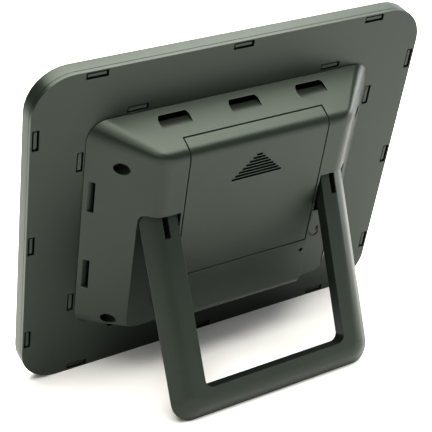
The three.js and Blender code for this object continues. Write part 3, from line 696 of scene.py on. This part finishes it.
def contact_springs():
    """Three bent leaf springs on the contact block, under the battery."""
    low, high = local_box("battery_contacts")
    start = low.x + FIRST_SPRING
    near = Vector((start, high.y + SPRING_FOOT_OUT[0], low.z + SPRING_FOOT_UP[0]))
    far = Vector((start + SPRING_WIDTH, high.y + SPRING_FOOT_OUT[1], low.z + SPRING_FOOT_UP[1]))
    spring = begin_block("contact_springs", near, far)
    for rise, run in SPRING_BENDS:
        pick_faces(spring, lambda point, normal: normal.z > 0.5)
        bpy.ops.mesh.extrude_region_move(TRANSFORM_OT_translate={"value": (0, rise, run)})
    end_edit(spring)
    repeat(spring, [Vector((SPRING_PITCH * count, 0, 0)) for count in (1, 2)])
    return settle(lay_on_plate(spring), TIN, "case", "socket")


MARK_CENTRE = Vector((-48, 18, -23))   # on the floor of the channel at -X
MARK_RADIUS = 2.6
MARK_OUT = 0.12
MARK_HALF = Vector((0.55, 0.13, 0.05))
MARK_SWEEP = math.radians(-250)
POINT_WIDENING = 2.4
POINT_NARROWING = 0.15
POINT_STEP = (-0.9, 0, -1.4)


def pivot_mark():
    """A raised arc with a pointed end, a plain turning mark, coloured black as painted shade of a sunk mark.
    """
    start = MARK_CENTRE + Vector((MARK_RADIUS, MARK_OUT, 0))
    arc = begin_block("pivot_mark", start - MARK_HALF, start + MARK_HALF)
    pick_faces(arc, lambda point, normal: normal.z > 0.9)
    bpy.ops.mesh.spin(steps=16, angle=MARK_SWEEP, center=MARK_CENTRE, axis=(0, 1, 0))
    bpy.ops.transform.resize(value=(POINT_WIDENING, 1, POINT_WIDENING))
    bpy.ops.mesh.extrude_region_move()
    bpy.ops.transform.resize(value=(POINT_NARROWING, 1, POINT_NARROWING))
    bpy.ops.transform.translate(value=POINT_STEP)
    end_edit(arc)
    # the black nylon here is painted shade: the real mark is sunk in the housing plastic and is dark from its
    # own shadow
    return settle(lay_on_plate(arc), BLACK_MOULDING, "case", "moulded")


def softened(node_name, name, material, body, slot, width):
    """A CAD piece whose outer edges are rounded off."""
    obj = copy_of(node_name, name)
    bevel_edges(obj, width, least_length=0.5)
    return settle(obj, material, body, slot, node_name)


# CAD node, piece, finish, body, slot and width of the rounded edges in millimetres.
SOFTENED = (
    ("battery_pack", "wrapped_battery", WRAP, "case", "battery", 1.6),
    ("battery_contacts", "contact_block", BLACK_MOULDING, "case", "moulded", 0.25),
    ("card_socket", "card_reader_shell", TIN, "case", "socket", 0.2),
    ("usb_socket", "usb_shell", TIN, "case", "socket", 0.2),
    ("power_jack", "power_inlet", BLACK_MOULDING, "case", "moulded", 0.2),
    ("power_switch", "switch_can", TIN, "case", "socket", 0.2),
    ("reset_switch", "tact_switch", TIN, "case", "socket", 0.2),
    ("reset_button", "reset_plunger", BLACK_MOULDING, "reset_button", "moulded", 0.15),
    ("ribbon_connector", "ribbon_socket", BLACK_MOULDING, "case", "moulded", 0.2),
    ("choke_coil", "shielded_choke", BLACK_MOULDING, "case", "moulded", 0.4),
    ("hinge_pin_left", "pivot_pin_left", STEEL, "stand", "steel", 0.25),
    ("hinge_washer_left", "pivot_washer_left", BLACK_MOULDING, "stand", "moulded", 0.15),
    ("hinge_pin_right", "pivot_pin_right", STEEL, "stand", "steel", 0.25),
    ("hinge_washer_right", "pivot_washer_right", BLACK_MOULDING, "stand", "moulded", 0.15),
)

for number in range(1, 5):
    cross_head_screw(f"case_screw_{number}", f"housing_screw_{number}")
    cross_head_screw(f"board_screw_{number}", f"circuit_screw_{number}")
chip_package("processor", "main_processor", legs=14)
chip_package("memory_chip", "work_memory", legs=8)
chip_package("flash_chip", "storage_memory", legs=12)
ribbed_knob()
contact_springs()
pivot_mark()
for row in SOFTENED:
    softened(*row)

# ---------------------------------------------------------------- finishes of the CAD pieces that stay

KEPT_FINISHES = {
    "lcd_retainer": INNER_FRAME, "lcd_gasket": FOAM, "lcd_panel": SCREEN, "backlight_unit": FOIL,
    "main_board": BOARD, "lcd_ribbon": RIBBON,
}
for node_name, finish in KEPT_FINISHES.items():
    finish_with(nodes[node_name], finish)

# ---------------------------------------------------------------- camera, lights and floor

CAMERA_PLACE = Vector((0.2895, 0.4767, 0.3393))
CAMERA_AIM = Vector((0.001, -0.0128, 0.0737))
CAMERA_ROLL = math.radians(-1.24)
CAMERA_LENS = 106.2
CAMERA_SENSOR = 36
# Place, aim, size, power and colour of each softbox.
SOFTBOXES = {
    "overhead": ((-0.05, -0.05, 0.95), (-0.05, -0.05, 0), (1.3, 1.3), 29.5, (1, 0.98, 0.92)),
    "fill": ((0.55, 0.72, 0.9), (0, 0, 0.05), (0.8, 0.8), 4.5, (1, 0.97, 0.9)),
    "front": ((-1.0, -0.95, 0.7), (0, 0, 0.08), (1, 1), 5, (0.98, 0.99, 1)),
    "low": ((-1.3, 0.3, 0.32), (0, 0, 0.02), (0.9, 0.5), 9, (0.98, 0.97, 1)),
}
ROOM_LIGHT = 0.08
ROOM_SEEN = 0.8                        # how bright the room looks to the camera
FLOOR_SPAN = 24.0
FLOOR_GLOW_FROM = 2.6                  # the paper is lit evenly further out, where the softbox falls off
FLOOR_GLOW = 0.75


def turn_towards(place, aim):
    return (Vector(aim) - Vector(place)).to_track_quat("-Z", "Y")


def stand_in_scene(name, data, place, turn):
    obj = bpy.data.objects.new(name, data)
    obj.location = place
    obj.rotation_mode = "QUATERNION"
    obj.rotation_quaternion = turn
    bpy.context.scene.collection.objects.link(obj)
    return obj


def add_camera():
    lens = bpy.data.cameras.new("camera")
    lens.sensor_width = CAMERA_SENSOR
    lens.lens = CAMERA_LENS
    turn = turn_towards(CAMERA_PLACE, CAMERA_AIM) @ Quaternion((0, 0, 1), CAMERA_ROLL)
    bpy.context.scene.camera = stand_in_scene("camera", lens, CAMERA_PLACE, turn)


def add_softbox(name, place, aim, size, power, colour):
    light = bpy.data.lights.new(name, "AREA")
    light.shape = "RECTANGLE"
    light.size, light.size_y = size
    light.energy = power
    light.color = colour
    stand_in_scene(name, light, place, turn_towards(place, aim))


def add_floor():
    bpy.ops.object.select_all(action="DESELECT")
    bpy.ops.mesh.primitive_plane_add(size=FLOOR_SPAN, location=(0, 0, 0))
    floor = bpy.context.object
    floor.name = "floor"
    material, tree, shader = new_material("white_paper")
    fibre = put(tree, "ShaderNodeTexNoise", {"Scale": 900.0, "Detail": 3.0})
    tree.links.new(put(tree, "ShaderNodeTexCoord").outputs["Object"], fibre.inputs["Vector"])
    tree.links.new(colour_mix(tree, fibre.outputs["Fac"], (0.80, 0.80, 0.80, 1), (0.84, 0.84, 0.835, 1)),
                   shader.inputs["Base Color"])
    shader.inputs["Roughness"].default_value = 0.7
    far = put(tree, "ShaderNodeTexGradient", gradient_type="SPHERICAL")
    spread = put(tree, "ShaderNodeMapping", {"Scale": [1 / FLOOR_GLOW_FROM] * 3})
    tree.links.new(put(tree, "ShaderNodeTexCoord").outputs["Object"], spread.inputs["Vector"])
    tree.links.new(spread.outputs["Vector"], far.inputs["Vector"])
    glow = math_node(tree, "SUBTRACT", 1.0, far.outputs["Fac"])
    tree.links.new(colour_mix(tree, glow, (0, 0, 0, 1), (0.9, 0.9, 0.89, 1)), shader.inputs["Emission Color"])
    shader.inputs["Emission Strength"].default_value = FLOOR_GLOW
    finish_with(floor, material)


def add_room():
    world = bpy.data.worlds.new("room")
    world.use_nodes = True
    tree = world.node_tree
    background = tree.nodes["Background"]
    background.inputs["Color"].default_value = (0.95, 0.98, 1, 1)
    seen = put(tree, "ShaderNodeLightPath").outputs["Is Camera Ray"]
    lit = put(tree, "ShaderNodeMapRange", {"To Min": ROOM_LIGHT, "To Max": ROOM_SEEN})
    tree.links.new(seen, lit.inputs["Value"])
    tree.links.new(lit.outputs["Result"], background.inputs["Strength"])
    bpy.context.scene.world = world


add_camera()
for name, settings in SOFTBOXES.items():
    add_softbox(name, *settings)
add_floor()
add_room()
bpy.context.scene.view_settings.view_transform = "Standard"
bpy.context.scene.view_settings.look = "High Contrast"

bpy.context.view_layer.update()
